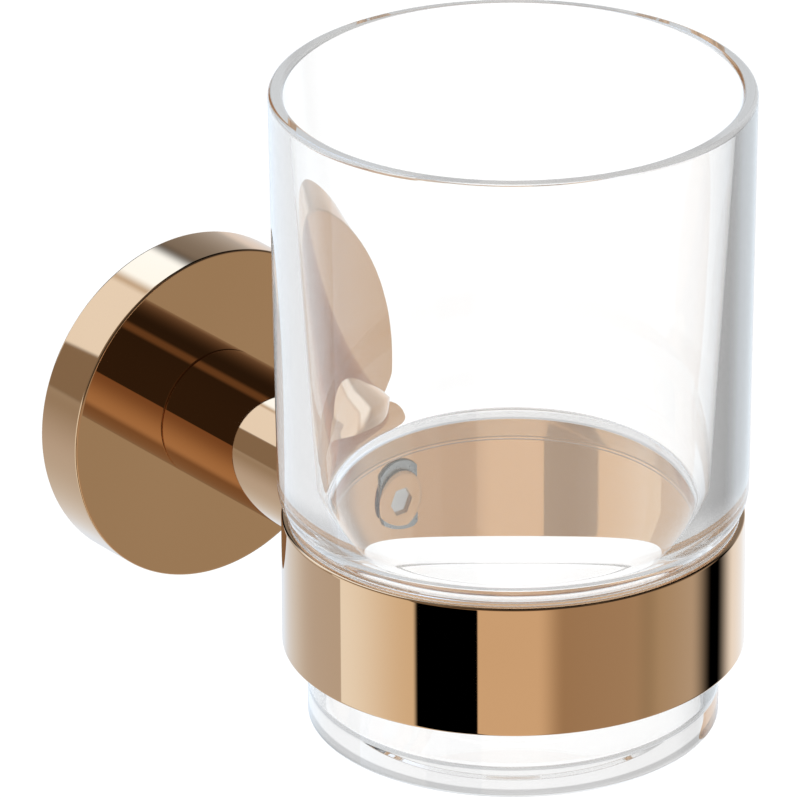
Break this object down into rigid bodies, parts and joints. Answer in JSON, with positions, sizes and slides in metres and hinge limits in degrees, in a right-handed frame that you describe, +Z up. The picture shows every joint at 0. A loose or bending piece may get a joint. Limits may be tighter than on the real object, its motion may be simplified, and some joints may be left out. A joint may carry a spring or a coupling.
{
  "type": "wall tumbler holder",
  "caption": "Wall-mounted bathroom tumbler holder: polished rose-gold collar ring on a straight arm and round rosette, with a lift-out stepped clear glass tumbler.",
  "frame": {"origin": "middle of the wall plate's back face, on the arm's axis, in the plane of the wall", "axes": "+Z up along the tumbler's axis, +Y into the wall, +X to the right for a person facing the wall"},
  "size_m": [0.07, 0.1383, 0.1023],
  "materials": {
    "rose_gold": "polished rose-gold plating on brass",
    "steel": "bright zinc-plated steel",
    "zinc": "turned steel, satin",
    "nylon": "moulded grey nylon",
    "glass": "clear, polished",
    "clear_plastic": "clear soft plastic"
  },
  "bodies": {
    "wall": {"wall_plate": "zinc", "wall_screw_upper": "steel", "wall_screw_lower": "steel", "wall_plug_upper": "nylon", "wall_plug_lower": "nylon"},
    "holder": {"rosette": "rose_gold", "arm_tube": "rose_gold", "arm_rear_plug": "zinc", "arm_front_plug": "zinc", "arm_washer": "steel", "arm_screw": "steel", "arm_pin": "steel", "holder_ring": "rose_gold", "ring_washer": "steel", "ring_screw": "rose_gold", "seat_ring": "clear_plastic"},
    "set_screw": {"set_screw": "steel"},
    "tumbler": {"tumbler": "glass"}
  },
  "joints": [
    {"name": "tumbler_lift", "type": "slide", "parent": "holder", "child": "tumbler", "axis": [0, 0, 1], "range_m": [0, 0.12]},
    {"name": "holder_pull", "type": "slide", "parent": "wall", "child": "holder", "axis": [0, -1, 0], "range_m": [0, 0.03]},
    {"name": "set_screw_travel", "type": "slide", "parent": "holder", "child": "set_screw", "axis": [0, 0, -1], "range_m": [0, 0.003]}
  ]
}
